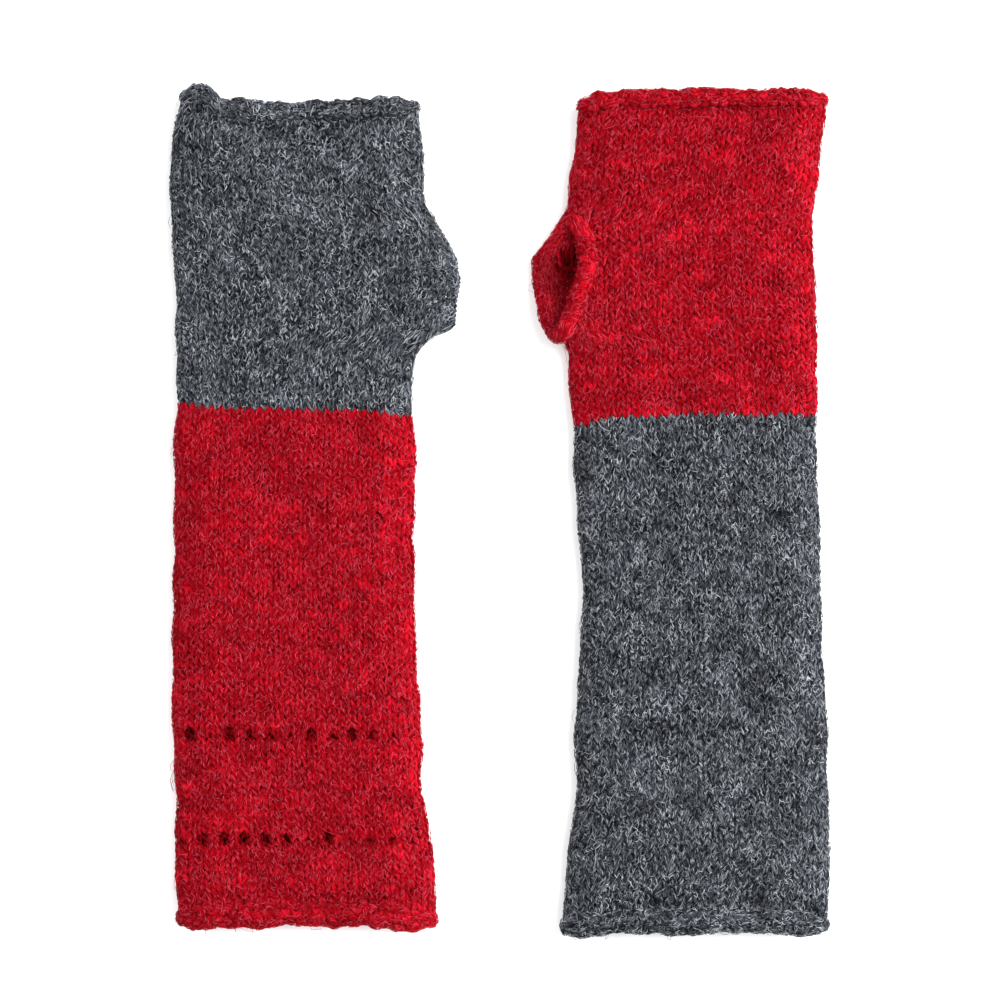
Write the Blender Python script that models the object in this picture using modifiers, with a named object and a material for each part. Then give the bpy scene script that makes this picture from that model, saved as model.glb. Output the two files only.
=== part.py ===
"""A pair of long knitted fingerless gloves, lying flat side by side with the fingers towards +Y.

Each glove is a flattened tube of knitting in two colours: an arm tube, a hand tube with a hole in its
inner side, and a short thumb tube set in that hole. The first and last rounds curl outward into rolls.
Yarn ends are woven in on the inside. The left glove shows its back, so its thumb opens downwards. The
right glove shows its palm, so its thumb opens upwards. The arm tube of the left glove has two rows of
eyelets. The gloves lie on Z = 0, and the origin is the middle of the pair's footprint.
"""

import math

import bmesh
import bpy
import numpy as np
from mathutils import Vector

MM = 0.001
GAP = 0.3 * MM  # between pieces that touch

# The fabric
WALL = 2.4 * MM  # one layer of felted knitting
DEPTH = 11.0 * MM  # a tube lying flat: two layers with air between them
ROLL_DEPTH = 13.6 * MM  # a curled edge lying flat
ROLL_THICK = 4.4 * MM  # the curl, across the fabric
FINGER_ROLL_WIDTH = 6.6 * MM  # the curl, along the tube
ARM_ROLL_WIDTH = 8.4 * MM
ROLL_PROUD = 0.6 * MM  # how far a curl stands out past the tube's side folds

# The thumb tube
THUMB_ROLL_RADIUS = 1.8 * MM
THUMB_STRAIGHT = 1.2 * MM  # the stretch at its root that doesn't narrow
THUMB_REACH = 30.0 * MM  # length before its mouth is cut at a slant

# Eyelets: a stitch is 4 mm wide, and every second pair of stitches leaves a hole
EYELET_PITCH = 8.0 * MM
EYELET_WIDTH = 2.2 * MM
EYELET_HEIGHT = 2.6 * MM
EYELETS_ACROSS = 11

# Yarn ends woven in on the inside
YARN_RADIUS = 1.0 * MM
YARN_SWING = 1.1 * MM  # how far they wander from side to side
YARN_WAVE = 11.0 * MM  # length of one wander
YARN_FROM_FOLD = 7.6 * MM

# Motion: the folds lie just above the fabric, so that one layer can lie on the other
FOLD_HEIGHT = 12.8 * MM
THUMB_FOLD_FROM_BASE = 3.2 * MM

# Mesh steps
FOLD_STEPS = 8  # round one side fold
THUMB_HOLE_STEPS = 1  # steps of the fold left standing above and below the thumb hole
ROW_STEP = 21.0 * MM  # longest stretch between two rings of a tube

GREY = ((0.085, 0.097, 0.115, 1.0), 0.95)
RED = ((0.42, 0.010, 0.022, 1.0), 0.92)

# Side edges of each glove lying flat, in millimetres: (y, left edge, right edge), from arm to fingers
LEFT_EDGES = (
    (-147.0, -122.6, -25.2),
    (-122.0, -123.4, -26.5),
    (-99.0, -123.0, -29.5),
    (-82.0, -124.3, -30.5),
    (-33.0, -123.4, -33.5),
    (38.5, -122.0, -32.0),
    (74.0, -122.0, -30.5),
    (103.0, -123.2, -28.5),
    (128.0, -124.2, -29.5),
    (150.0, -120.5, -31.0),
)
RIGHT_EDGES = (
    (-148.0, 23.4, 123.7),
    (-129.0, 24.8, 123.3),
    (-100.0, 28.1, 122.7),
    (-81.0, 26.8, 122.5),
    (-34.0, 29.6, 120.0),
    (7.0, 27.5, 119.0),
    (36.5, 26.7, 118.2),
    (77.0, 26.6, 118.4),
    (110.0, 26.2, 116.0),
    (129.0, 26.7, 117.8),
    (151.5, 29.5, 120.0),
)

LEFT = {
    "name": "left",
    "edges": LEFT_EDGES,
    "arm_end": -146.7 * MM,
    "colour_line": 38.5 * MM,
    "finger_end": 149.6 * MM,
    "thumb_side": 1,  # the thumb points to +X
    "thumb_hole": (61.5 * MM, 110.5 * MM),
    "thumb_mouth": (67.0 * MM, 101.0 * MM),
    "mouth_bottom_x": -31.2 * MM,  # where the slanted mouth meets the lower layer
    "mouth_slope": 0.93,
    "eyelet_rows": (-83.2 * MM, -122.6 * MM),
    "hand_wool": GREY,
    "cuff_wool": RED,
}
RIGHT = {
    "name": "right",
    "edges": RIGHT_EDGES,
    "arm_end": -149.3 * MM,
    "colour_line": 36.5 * MM,
    "finger_end": 151.1 * MM,
    "thumb_side": -1,
    "thumb_hole": (62.5 * MM, 109.5 * MM),
    "thumb_mouth": (66.5 * MM, 104.0 * MM),
    "mouth_bottom_x": 14.5 * MM,
    "mouth_slope": 1.24,
    "eyelet_rows": (),
    "hand_wool": RED,
    "cuff_wool": GREY,
}


def clear_scene():
    for old in list(bpy.data.objects):
        bpy.data.objects.remove(old, do_unlink=True)


def new_collection(name):
    collection = bpy.data.collections.new(name)
    bpy.context.scene.collection.children.link(collection)
    return collection


def wool_material(name, wool):
    colour, roughness = wool
    material = bpy.data.materials.new(name)
    material.use_nodes = True
    material.diffuse_color = colour
    shader = material.node_tree.nodes["Principled BSDF"]
    shader.inputs["Base Color"].default_value = colour
    shader.inputs["Roughness"].default_value = roughness
    shader.inputs["Metallic"].default_value = 0.0
    return material


def side_edges(glove, y):
    """The x of the glove's left and right side folds at y."""
    table = np.array(glove["edges"]) * MM
    return (
        float(np.interp(y, table[:, 0], table[:, 1])),
        float(np.interp(y, table[:, 0], table[:, 2])),
    )


def even_steps(start, stop, longest):
    """Positions from start to stop in equal steps no longer than longest."""
    count = max(1, math.ceil(abs(stop - start) / longest - 1e-9))
    return [start + (stop - start) * i / count for i in range(count + 1)]


def flat_oval(half_width, half_depth, flats=(-1.0, -0.5, 0.0, 0.5, 1.0)):
    """A lying tube's section, counter-clockwise from the low end of its right fold.

    Each side is a half circle of the section's half depth. flats places points along the flat
    stretches, from -1 at the left fold to 1 at the right fold.
    """
    reach = half_width - half_depth
    points = []
    for side in (1, -1):
        for step in range(FOLD_STEPS + 1):
            angle = math.pi * (step / FOLD_STEPS - 0.5)
            across = side * (reach + half_depth * math.cos(angle))
            points.append((across, side * half_depth * math.sin(angle)))
        for along in reversed(flats[1:-1]):
            points.append((side * along * reach, side * half_depth))
    return points


def add_part(name, data, glove, pivot, wool, collections):
    """Adds a sub-part whose origin is the pivot of the body that it moves with."""
    part = bpy.data.objects.new(f"{glove['name']}_{name}", data)
    part.parent = pivot["empty"]
    collections["gloves"].objects.link(part)
    data.materials.append(wool_material(f"{part.name}_wool", wool))
    return part


def loft(name, rings, left_out=()):
    """A skin over closed rings of points. left_out holds the (band, step) of faces that are holes."""
    mesh = bmesh.new()
    rows = [[mesh.verts.new(point) for point in ring] for ring in rings]
    for band in range(len(rows) - 1):
        near, far = rows[band], rows[band + 1]
        for step in range(len(near)):
            if (band, step) in left_out:
                continue
            after = (step + 1) % len(near)
            mesh.faces.new((near[step], far[step], far[after], near[after]))
    loose = [vert for vert in mesh.verts if not vert.link_faces]
    bmesh.ops.delete(mesh, geom=loose, context="VERTS")
    data = bpy.data.meshes.new(name)
    mesh.to_mesh(data)
    mesh.free()
    return data


def make_shell(part):
    shell = part.modifiers.new("fabric", "SOLIDIFY")
    shell.thickness = WALL
    shell.offset = -1.0
    shell.use_even_offset = True


def tube_ring(glove, y, pivot, flats):
    left, right = side_edges(glove, y)
    middle, half_width = (left + right) / 2, (right - left) / 2
    return [
        Vector((middle + x, y, DEPTH / 2 + z)) - pivot["at"]
        for x, z in flat_oval(half_width, DEPTH / 2, flats)
    ]


def eyelet_flats(glove):
    """Points along the flats with a pair at each eyelet's sides."""
    left, right = side_edges(glove, glove["eyelet_rows"][0])
    reach = (right - left) / 2 - DEPTH / 2
    marks = [-1.0]
    for i in range(EYELETS_ACROSS):
        centre = (i - (EYELETS_ACROSS - 1) / 2) * EYELET_PITCH
        marks += [(centre - EYELET_WIDTH / 2) / reach, (centre + EYELET_WIDTH / 2) / reach]
    return marks + [1.0]


def make_cuff(glove, pivot, collections):
    """The arm tube, with its eyelets where the glove has them."""
    stops = [glove["arm_end"]]
    for y in reversed(glove["eyelet_rows"]):
        stops += [y - EYELET_HEIGHT / 2, y + EYELET_HEIGHT / 2]
    stops.append(glove["colour_line"] - GAP / 2)
    rows = [stops[0]]
    for start, stop in zip(stops, stops[1:]):
        rows += even_steps(start, stop, ROW_STEP)[1:]
    if glove["eyelet_rows"]:
        flats = eyelet_flats(glove)
    else:
        flats = [-1.0, -0.5, 0.0, 0.5, 1.0]
    first_flat = FOLD_STEPS + 1  # steps before the first eyelet on the upper layer
    steps_round = 2 * (FOLD_STEPS + len(flats) - 1)
    holes = set()
    for y in glove["eyelet_rows"]:
        band = rows.index(y - EYELET_HEIGHT / 2)
        for i in range(EYELETS_ACROSS):
            upper = first_flat + 2 * i
            holes |= {(band, upper), (band, upper + steps_round // 2)}
    rings = [tube_ring(glove, y, pivot, flats) for y in rows]
    cuff = loft("cuff", rings, holes)
    make_shell(add_part("cuff_tube", cuff, glove, pivot, glove["cuff_wool"], collections))


def make_hand(glove, pivot, collections):
    """The hand tube, open at its inner side fold where the thumb tube is set in."""
    low, high = glove["thumb_hole"]
    rows = even_steps(glove["colour_line"] + GAP / 2, low, ROW_STEP)
    first_band = len(rows) - 1
    rows += even_steps(low, high, ROW_STEP)[1:]
    last_band = len(rows) - 1
    rows += even_steps(high, glove["finger_end"], ROW_STEP)[1:]
    flats = (-1.0, -0.5, 0.0, 0.5, 1.0)
    fold_start = 0 if glove["thumb_side"] > 0 else FOLD_STEPS + len(flats) - 1
    hole_steps = range(fold_start + THUMB_HOLE_STEPS, fold_start + FOLD_STEPS - THUMB_HOLE_STEPS)
    holes = {(band, step) for band in range(first_band, last_band) for step in hole_steps}
    rings = [tube_ring(glove, y, pivot, flats) for y in rows]
    hand = loft("hand", rings, holes)
    make_shell(add_part("hand_tube", hand, glove, pivot, glove["hand_wool"], collections))


def make_ring(name, points, radius):
    """A closed rope through the points, as a curve."""
    curve = bpy.data.curves.new(name, "CURVE")
    curve.dimensions = "3D"
    curve.bevel_depth = radius
    curve.bevel_resolution = 2
    spline = curve.splines.new("POLY")
    spline.points.add(len(points) - 1)
    for point, place in zip(spline.points, points):
        point.co = (*place, 1.0)
    spline.use_cyclic_u = True
    return curve


def make_edge_roll(name, glove, tube_end, outward, width, pivot, wool, collections):
    """A curled edge just past a tube's end: a round rope, drawn out along Y into an oval one."""
    left, right = side_edges(glove, tube_end)
    middle = (left + right) / 2
    half_width = (right - left) / 2 + ROLL_PROUD - ROLL_THICK / 2
    half_depth = (ROLL_DEPTH - ROLL_THICK) / 2
    shift = pivot["at"]
    points = [
        (middle + x - shift.x, 0.0, ROLL_DEPTH / 2 + z - shift.z)
        for x, z in flat_oval(half_width, half_depth)
    ]
    roll = add_part(name, make_ring(name, points, ROLL_THICK / 2), glove, pivot, wool, collections)
    roll.location.y = tube_end + outward * (GAP + width / 2) - shift.y
    roll.scale.y = width / ROLL_THICK


def thumb_base_x(glove):
    """Where the thumb tube starts: a gap outside the edges of the hole in the hand's side fold."""
    side = glove["thumb_side"]
    folds = [side_edges(glove, y)[1 if side > 0 else 0] for y in even_steps(*glove["thumb_hole"], ROW_STEP)]
    outermost = max(folds) if side > 0 else min(folds)
    standing = math.pi * (THUMB_HOLE_STEPS / FOLD_STEPS - 0.5)
    inset = DEPTH / 2 * (1 - math.cos(standing))
    return outermost - side * (inset - GAP)


def mouth_x(glove, z):
    """The x of the thumb's slanted mouth at height z."""
    return glove["mouth_bottom_x"] + glove["mouth_slope"] * z


def mouth_cutter(glove, collections):
    """A large block whose face lies in the plane of the thumb's mouth."""
    size = 80.0 * MM
    tilt = math.atan(glove["mouth_slope"])
    outward = Vector((glove["thumb_side"] * math.cos(tilt), 0.0, -glove["thumb_side"] * math.sin(tilt)))
    centre_y = sum(glove["thumb_mouth"]) / 2
    on_face = Vector((mouth_x(glove, DEPTH / 2), centre_y, DEPTH / 2))
    block = bmesh.new()
    bmesh.ops.create_cube(block, size=size)
    data = bpy.data.meshes.new("mouth_cutter")
    block.to_mesh(data)
    block.free()
    cutter = bpy.data.objects.new(f"{glove['name']}_mouth_cutter", data)
    cutter.location = on_face + outward * (size / 2)
    cutter.rotation_euler = (0.0, tilt, 0.0)
    cutter.display_type = "WIRE"
    cutter.hide_render = True
    collections["cutters"].objects.link(cutter)
    return cutter


def make_thumb(glove, pivot, collections):
    """The thumb tube: it narrows from the hole to its mouth, and the mouth is cut at a slant."""
    shift = pivot["at"]
    side = glove["thumb_side"]
    base_x = thumb_base_x(glove)
    hole, mouth = glove["thumb_hole"], glove["thumb_mouth"]
    stations = (
        (base_x, hole[0] + GAP, hole[1] - GAP),
        (base_x + side * THUMB_STRAIGHT, hole[0] + GAP, hole[1] - GAP),
        (base_x + side * THUMB_REACH * 0.45, mouth[0], mouth[1]),
        (base_x + side * THUMB_REACH, mouth[0], mouth[1]),
    )
    rings = []
    for x, low, high in stations:
        middle, half_width = (low + high) / 2, (high - low) / 2
        section = flat_oval(half_width, DEPTH / 2)
        rings.append([Vector((x, middle + y, DEPTH / 2 + z)) - shift for y, z in section])
    if side > 0:
        rings.reverse()
    tube = add_part("thumb_tube", loft("thumb", rings), glove, pivot, glove["hand_wool"], collections)
    make_shell(tube)
    cut = tube.modifiers.new("slanted_mouth", "BOOLEAN")
    cut.operation = "DIFFERENCE"
    cut.object = mouth_cutter(glove, collections)

    # The curled rim follows the mouth's plane, one radius and a gap outside it
    stand_off = side * (THUMB_ROLL_RADIUS + GAP) * math.hypot(1.0, glove["mouth_slope"])
    middle = sum(mouth) / 2
    half_width = (mouth[1] - mouth[0]) / 2 - 1.2 * MM
    half_depth = (ROLL_DEPTH - 2 * THUMB_ROLL_RADIUS) / 2
    points = []
    for y, z in flat_oval(half_width, half_depth):
        height = THUMB_ROLL_RADIUS + half_depth + z
        points.append(Vector((mouth_x(glove, height) + stand_off, middle + y, height)) - shift)
    rim = make_ring("thumb_rim", points, THUMB_ROLL_RADIUS)
    add_part("thumb_edge_roll", rim, glove, pivot, glove["hand_wool"], collections)


def make_yarn_end(name, glove, start, stop, pivot, wool, collections, towards_thumb=-1):
    """A yarn end woven in on the inside of the lower layer.

    It lies along the side fold with the thumb if towards_thumb is 1, and along the other one if it is -1.
    """
    shift = pivot["at"]
    curve = bpy.data.curves.new(name, "CURVE")
    curve.dimensions = "3D"
    curve.bevel_depth = YARN_RADIUS
    curve.bevel_resolution = 2
    curve.use_fill_caps = True
    ys = even_steps(start, stop, 2.6 * YARN_RADIUS)
    spline = curve.splines.new("POLY")
    spline.points.add(len(ys) - 1)
    side = towards_thumb * glove["thumb_side"]
    height = WALL + GAP + YARN_RADIUS
    for point, y in zip(spline.points, ys):
        fold = side_edges(glove, y)[1 if side > 0 else 0]
        swing = YARN_SWING * math.sin(2 * math.pi * (y - start) / YARN_WAVE)
        x = fold - side * YARN_FROM_FOLD + swing
        point.co = (x - shift.x, y - shift.y, height - shift.z, 1.0)
    add_part(name, curve, glove, pivot, wool, collections)


def make_yarn_ends(glove, cuff_pivot, hand_pivot, collections):
    line = glove["colour_line"]
    arm, finger = glove["arm_end"], glove["finger_end"]
    clear = 4.0 * MM  # from a tube's end to the tip of a yarn end
    length = 34.0 * MM
    cuff, hand = glove["cuff_wool"], glove["hand_wool"]
    for name, start in (("arm", arm + clear), ("join_cuff", line - clear - length)):
        make_yarn_end(f"{name}_yarn_end", glove, start, start + length, cuff_pivot, cuff, collections)
    for name, start in (("join_hand", line + clear), ("finger", finger - clear - length)):
        make_yarn_end(f"{name}_yarn_end", glove, start, start + length, hand_pivot, hand, collections)
    start = glove["thumb_hole"][1] + clear
    stop = start + 0.7 * length
    make_yarn_end("thumb_yarn_end", glove, start, stop, hand_pivot, hand, collections, towards_thumb=1)


def add_pivot(name, place, parent, collections):
    """An empty on a joint's axis, which the moving pieces are parented to, and its place in the world."""
    empty = bpy.data.objects.new(name, None)
    empty.empty_display_size = 10 * MM
    empty.location = place
    if parent is not None:
        empty.parent = parent["empty"]
        empty.location = Vector(place) - parent["at"]
    collections["gloves"].objects.link(empty)
    return {"empty": empty, "at": Vector(place)}


def make_glove(glove, collections):
    left, right = side_edges(glove, glove["colour_line"])
    middle = (left + right) / 2
    cuff = add_pivot(f"{glove['name']}_glove", (middle, 0.0, 0.0), None, collections)
    wrist_place = (middle, glove["colour_line"], FOLD_HEIGHT)
    hand = add_pivot(f"{glove['name']}_wrist_fold", wrist_place, cuff, collections)
    hinge_x = thumb_base_x(glove) + glove["thumb_side"] * THUMB_FOLD_FROM_BASE
    thumb_place = (hinge_x, sum(glove["thumb_hole"]) / 2, FOLD_HEIGHT)
    thumb = add_pivot(f"{glove['name']}_thumb_fold", thumb_place, hand, collections)
    make_cuff(glove, cuff, collections)
    arm_end, finger_end = glove["arm_end"], glove["finger_end"]
    cuff_wool, hand_wool = glove["cuff_wool"], glove["hand_wool"]
    make_edge_roll("arm_edge_roll", glove, arm_end, -1, ARM_ROLL_WIDTH, cuff, cuff_wool, collections)
    make_hand(glove, hand, collections)
    make_edge_roll("finger_edge_roll", glove, finger_end, 1, FINGER_ROLL_WIDTH, hand, hand_wool, collections)
    make_thumb(glove, thumb, collections)
    make_yarn_ends(glove, cuff, hand, collections)


def main():
    clear_scene()
    collections = {"gloves": new_collection("fingerless_gloves"), "cutters": new_collection("cutters")}
    for glove in (LEFT, RIGHT):
        make_glove(glove, collections)
    bpy.context.view_layer.update()


main()
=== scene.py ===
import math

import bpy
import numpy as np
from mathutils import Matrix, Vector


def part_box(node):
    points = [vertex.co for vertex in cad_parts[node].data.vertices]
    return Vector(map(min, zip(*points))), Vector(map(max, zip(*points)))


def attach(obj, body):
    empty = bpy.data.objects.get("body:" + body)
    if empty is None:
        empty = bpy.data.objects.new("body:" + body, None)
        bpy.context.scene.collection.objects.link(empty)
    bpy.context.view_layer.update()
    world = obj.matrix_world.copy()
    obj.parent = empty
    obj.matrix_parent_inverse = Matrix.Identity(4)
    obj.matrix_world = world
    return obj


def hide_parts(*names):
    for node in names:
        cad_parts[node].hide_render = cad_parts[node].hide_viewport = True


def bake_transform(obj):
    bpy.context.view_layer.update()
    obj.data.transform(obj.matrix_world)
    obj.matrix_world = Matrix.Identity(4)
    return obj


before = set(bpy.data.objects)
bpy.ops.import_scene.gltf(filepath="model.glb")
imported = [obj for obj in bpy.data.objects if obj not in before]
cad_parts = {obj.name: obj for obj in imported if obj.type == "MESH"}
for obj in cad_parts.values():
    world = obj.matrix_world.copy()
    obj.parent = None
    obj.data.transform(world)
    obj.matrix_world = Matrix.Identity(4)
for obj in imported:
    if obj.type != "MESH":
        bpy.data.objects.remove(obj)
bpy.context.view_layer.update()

# A pair of long knitted fingerless gloves, lying flat with the fingers towards +Y. Every round of
# stitches is a real yarn that runs in loops round its tube, the first and last rounds curl outward
# into rolls, and loose wool fibres lie over the felted surface. Fabric coordinates are used all
# through: metres round the tube, metres along it, and metres out from the middle of the fabric.

MM = 0.001

# Stitches
STITCHES_ROUND = 50
STITCH_WIDTH = 4.0 * MM  # in fabric coordinates: the glove's real girth makes it a little narrower
GIRTH = STITCHES_ROUND * STITCH_WIDTH
THUMB_STITCHES = 26
YARN_RADIUS = 0.98 * MM
YARN_FLATNESS = 0.9  # depth of the squashed yarn over its width
YARN_SIDES = 6
LOOP_POINTS = 12  # along one stitch
LOOP_SWING = 1.12 * MM  # how far a loop's head is wider than its neck
LOOP_REACH = 0.86  # loop's half height in rounds
LOOP_DEPTH = 0.5 * MM
BOUND_STEPS = 6  # along one stitch of a bound-off edge
BOUND_SWING = 0.55 * MM
UNEVEN = 0.2 * MM  # how far hand knitting strays
FABRIC_HALF = 1.5 * MM  # from the middle of the fabric to its outer face
FLOOR_GAP = 0.1 * MM  # nothing is lower than this

# The flat tube
GUSSET = 4.5 * MM  # how far the thumb draws the hand's inner fold out
RIPPLE, RIPPLE_SCALE = 0.6 * MM, 30 * MM  # unevenness of its upper face
WANDER, WANDER_SCALE = 0.5 * MM, 22 * MM  # and of its side folds
END_SHIFT = 55 * MM  # length over which the shift of an end fades out
LINE_SHIFT = 38 * MM
WRIST_HALF = 20 * MM  # half the length of fabric that bends at the wrist
END_NARROWING = 0.4 * MM  # of the tube's half width at its rolls

# Rolls
CURL_HEIGHT = 1.45 * MM
CURL_TURN = math.radians(285)
CURL_UNEVEN = 0.15  # how much a roll's size varies along it
CURL_SHRINK = 0.62  # how much smaller a roll is where it turns round the side folds
SHRINK_FROM = 0.86  # share of the half width at which that starts
RIM_SWELL = 0.6  # how much fatter the upper rim of an open thumb is
CLOSING = 5.5 * MM  # how far the far side of an open mouth rises to its upper end
# How far the upper side falls to the left and the right side fold
DOME_LEFT, DOME_RIGHT = 1.8 * MM, 4.0 * MM
DOME_FROM = 0.72  # share of the half width at which that starts
GROOVE_DEPTH = 1.2 * MM  # behind a roll
GROOVE_WIDTH = 2.2 * MM
GROOVE_BEHIND = 5.6 * MM
PUCKER, PUCKER_SCALE = 0.5 * MM, 9 * MM  # waviness of a rolled edge
HEM = 12 * MM  # length over which the pucker fades out
ROLL_ROUND = 2.6 * MM  # height of its rounds
EDGE_HALF_DEPTH = 2.9 * MM  # of the tube's middle surface at its ends
EDGE_MIDDLE = 7.1 * MM
FLARE = 16.0 * MM  # length over which a tube opens towards its roll

# Thumbs: their places are given from the corners of the CAD thumb and its roll
THUMB_ROUNDS = 7
THUMB_ROW = 2.7 * MM
THUMB_BASE_LOW = 3.0 * MM
THUMB_BELLY = 0.8 * MM
MOUTH_FLATNESS = 0.85
CREASE_DEPTH, CREASE_WIDTH, CREASE_LENGTH = 3.6 * MM, 2.2 * MM, 5.5 * MM  # above an open mouth
HOLE_LOW = 2.5 * MM  # the hole in the hand starts this far in
# Each pair is for a thumb whose mouth stands open, then for one that lies closed
THUMB_FORMS = {
    "base_high": (4.0 * MM, 8.0 * MM),
    "mouth_low": (2.2 * MM, 0.5 * MM),
    "mouth_high": (1.5 * MM, 7.0 * MM),
    "hole_high": (3.5 * MM, 5.0 * MM),
    "hole_depth": (8.0 * MM, 0.0),  # of the hole in the hand's upper layer, from the side fold
    "inset": (6.0 * MM, 8.0 * MM),  # of its base, from the side fold
    "lift": (1.9 * MM, 0.8 * MM),  # of its mouth
    "overhang": (0.0, 1.6 * MM),
    "reach": (1.5 * MM, 8.0 * MM),  # an open mouth rolls back, and a closed one ends almost flat
    "turn": (math.radians(285), math.radians(12)),
    "roll_rounds": (5, 1),
    # the least painted light on the roll, so a closed thumb's edge is not painted dark like the pits
    "least_painted_light": (0.0, 0.75),
    "fuzz": (2.0, 1.0),  # as a share of the fabric's own
    "fuzz_stop": (0.0, 1.8 * MM),
}

# Fibres
FIBRE_STATIONS = 5
FIBRE_SIDES = 3
FIBRE_RADIUS = 0.12 * MM
FUZZ_UPPER = 1.75e6  # fibres per square metre on the side that faces up
FUZZ_LOWER = 0.6e6
ROLL_FUZZ = 1.3  # extra fibres on the rolled edges, as a share of the fabric's own
LOOSE_SHARE = 0.006  # of the fibres that are long and stand off
STITCH_SHARE = 0.7  # of the fibres that lie on the stitches' legs
FUZZ_MARGIN = 0.6 * MM  # left bare beside the colour change
FUZZ_ROLLED = 0.8  # share of a roll's length that has fibres
FIBRES_PER_PIECE = 11000

GLOVES = {
    "left": {
        "side": 1,  # the thumb points to +X
        "rounds": (68, 42),
        "wools": {"cuff": "red", "hand": "grey"},
        "eyelets": True,
        # Shifts along Y: (place from -1 at the left fold to 1 at the right fold, mm)
        "arm_lie": ((-1.0, -1.0), (-0.6, 1.0), (0.5, 1.2), (0.8, -0.6), (1.0, -2.0)),
        "line_lie": ((-1.0, 2.4), (-0.6, 0.4), (0.6, -0.5), (1.0, -2.6)),
        "finger_lie": (
            (-1.0, 2.4), (-0.93, 3.8), (-0.82, 3.0), (-0.75, 0.4), (-0.68, -2.0), (-0.3, -3.8), (0.3, -3.2),
            (1.0, -1.3),
        ),
        # Shifts of the side folds along X: (y in mm, mm)
        "left_wander": (
            (155, 1.6), (149, -0.6), (142, -1.8), (130, -0.8), (78, -0.7), (50, 0.0), (10, -1.0), (-60, 0.0),
            (-140, 0.6),
        ),
        "right_wander": (
            (150, -0.1), (140, 0.6), (120, 0.2), (70, 0.2), (54, -2.2), (42, -2.6), (30, 0.0), (6, -0.5),
            (-6, 0.3), (-45, 0.7), (-62, -0.4), (-78, 0.8), (-95, -1.0), (-118, -0.5), (-130, 0.8),
        ),
        # Thumb mouth: (share of its half length, how far its edge lies back from the tip)
        "far_rim": (
            (-1.2, 10.0), (-1.0, 5.0), (-0.8, 2.0), (-0.3, 1.2), (0.1, 0.0), (0.6, 1.2), (1.0, 4.6),
            (1.3, 7.8), (1.65, 12.5),
        ),
        "near_rim": None,
        "thumb_grain": 1.05,
    },
    "right": {
        "side": -1,
        "rounds": (62, 42),
        "wools": {"cuff": "grey", "hand": "red"},
        "eyelets": False,
        "arm_lie": ((-1.0, -1.4), (-0.6, 0.9), (0.6, 1.0), (1.0, -0.8)),
        "line_lie": ((-1.0, -4.0), (-0.7, -1.0), (0.0, 0.2), (1.0, 0.0)),
        "finger_lie": ((-1.0, -2.2), (-0.7, -0.4), (0.4, -0.2), (1.0, 0.0)),
        "left_wander": (
            (150, -0.8), (118, -1.4), (100, -1.0), (64, -1.0), (54, -2.2), (40, 0.0), (-50, 1.3), (-84, 0.0),
            (-110, 1.2), (-140, -0.5),
        ),
        "right_wander": (
            (150, 1.8), (140, 2.3), (118, 1.3), (60, 0.2), (20, 0.2), (-10, 0.5), (-28, 0.9), (-45, -0.2),
            (-60, 0.2), (-78, 0.6), (-100, -0.5), (-116, 0.2), (-130, 1.2), (-141, 0.4), (-147, -1.2),
        ),
        "far_rim": (
            (-1.15, 9.0), (-0.96, 5.6), (-0.7, 2.9), (0.1, 0.3), (0.5, 0.0), (0.95, 7.0), (1.25, 10.0),
        ),
        "near_rim": (
            (-1.15, 9.0), (-0.6, 14.6), (-0.15, 17.4), (0.3, 20.6), (0.85, 19.4), (1.1, 17.5), (1.3, 13.0),
        ),
        "thumb_grain": 0.0,
    },
}
SEEDS = {"left": 11, "right": 23}
EYELET_STEP = 2  # stitches from one eyelet to the next
EYELET_HALF_WIDTH = 1.3 * MM
EYELET_HALF_HEIGHT = 2.8 * MM
EYELET_RANGE = 6 * MM  # rows further off are not led round it
EYELET_SHADE = (2.3 * MM, 3.0 * MM)  # half width and half height of the painted shade in it
# How far each is drawn open, from the left fold to the right fold: the lower row, then the upper
EYELETS_OPEN = (
    (0.45, 0.9, 0.85, 0.85, 1.0, 0.7, 0.1, 1.0, 0.15, 0.55, 0.5, 0.15, 0.1),
    (0.1, 1.0, 0.2, 1.05, 0.8, 0.5, 0.35, 0.85, 0.4, 0.9, 0.65, 0.35, 0.1),
)


# ---- small helpers


def smooth(value, low, high):
    """0 below low, 1 above high, and a smooth step between them."""
    t = np.clip((value - low) / (high - low), 0.0, 1.0)
    return t * t * (3.0 - 2.0 * t)


def between(value, low, inner_low, inner_high, high):
    """1 from inner_low to inner_high, and a smooth step down to 0 at low and at high."""
    return smooth(value, low, inner_low) * (1 - smooth(value, inner_high, high))


def read_table(table, places):
    """Values read off a table of (place, mm) pairs, in metres."""
    given, values = np.array(table).T
    return np.interp(places, given, values) * MM


def unit(vectors):
    return vectors / np.maximum(np.linalg.norm(vectors, axis=-1, keepdims=True), 1e-12)


def node_points(node):
    """The points of a CAD node."""
    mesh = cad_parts[node].data
    points = np.zeros(len(mesh.vertices) * 3, np.float32)
    mesh.vertices.foreach_get("co", points)
    return points.reshape(-1, 3).astype(float)


def gap_round(round_, across):
    """How far places round the tube are past another place, going the shorter way."""
    return (round_ - across + GIRTH / 2) % GIRTH - GIRTH / 2


def laid(surface, points):
    """The world points of points in fabric coordinates."""
    return surface.place(points[..., 0], points[..., 1], points[..., 2])


def wave_noise(a, b, seed, scale):
    """Smooth noise of about -1 to 1 over two coordinates, from a few crossed waves."""
    rng = np.random.default_rng(seed)
    total = np.zeros(np.broadcast(a, b).shape)
    for _ in range(6):
        heading = rng.uniform(0, 2 * math.pi)
        rate = 2 * math.pi / scale * rng.uniform(0.6, 1.5)
        total = total + np.sin(rate * (a * math.cos(heading) + b * math.sin(heading)) + rng.uniform(0, 6.28))
    return total / 3.0


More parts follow.
